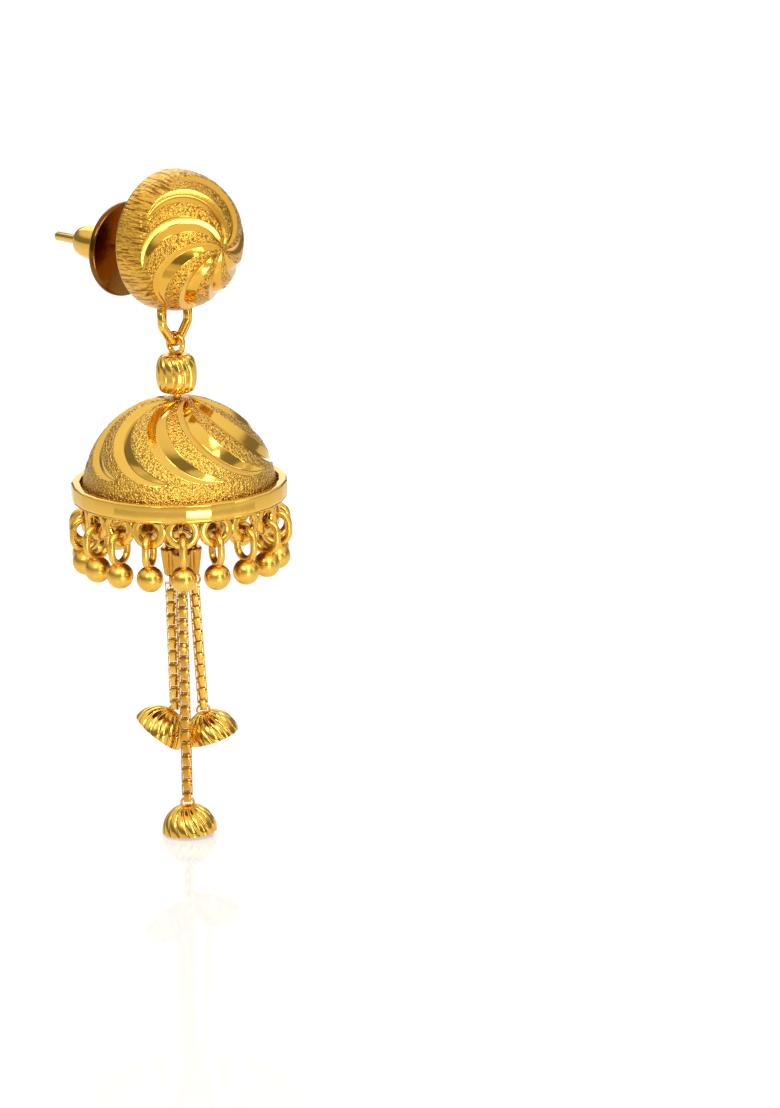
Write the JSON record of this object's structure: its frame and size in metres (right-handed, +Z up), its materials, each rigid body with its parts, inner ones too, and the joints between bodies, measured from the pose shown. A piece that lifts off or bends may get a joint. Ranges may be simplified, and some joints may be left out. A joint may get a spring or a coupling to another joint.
{
  "type": "jhumka earring",
  "caption": "Gold jhumka earring: swirl-fluted ball stud on a post with a bullet clutch, and a hanging fluted bell with a pierced gallery, bead drops and three chains with fluted cups.",
  "frame": {"origin": "on the ear post's axis, in the middle of the ear lobe's thickness", "axes": "+Z up, the earring's length; +Y along the post from the front towards its free end; +X to the wearer's left as seen from the front"},
  "size_m": [0.0174, 0.0218, 0.0525],
  "materials": {
    "polished_gold": "polished yellow gold plate",
    "sandy_gold": "yellow gold plate with a sandy stippled ground and polished flutes"
  },
  "bodies": {
    "stud": {"ear_stud": "polished_gold"},
    "clutch": {"ear_clutch": "polished_gold"},
    "drop": {"eye_pin": "polished_gold", "fluted_bead": "polished_gold", "bell_dome": "sandy_gold", "bell_rim": "polished_gold", "drop_01": "polished_gold", "drop_02": "polished_gold", "drop_03": "polished_gold", "drop_04": "polished_gold", "drop_05": "polished_gold", "drop_06": "polished_gold", "drop_07": "polished_gold", "drop_08": "polished_gold", "drop_09": "polished_gold", "drop_10": "polished_gold", "drop_11": "polished_gold", "drop_12": "polished_gold", "drop_13": "polished_gold", "drop_14": "polished_gold", "drop_15": "polished_gold", "drop_16": "polished_gold", "drop_17": "polished_gold", "drop_18": "polished_gold", "chain_ring": "polished_gold", "chain_cap_front": "polished_gold", "chain_cap_right": "polished_gold", "chain_cap_left": "polished_gold", "chain_front": "polished_gold", "chain_right": "polished_gold", "chain_left": "polished_gold", "cup_front": "polished_gold", "cup_right": "polished_gold", "cup_left": "polished_gold"}
  },
  "joints": [
    {"name": "drop_swing", "type": "hinge", "parent": "stud", "child": "drop", "pos_m": [0, -0.0029, -0.0066], "axis": [1, 0, 0], "range_deg": [-45, 45]},
    {"name": "clutch_slide", "type": "slide", "parent": "stud", "child": "clutch", "axis": [0, 1, 0], "range_m": [-0.004, 0.009]}
  ]
}
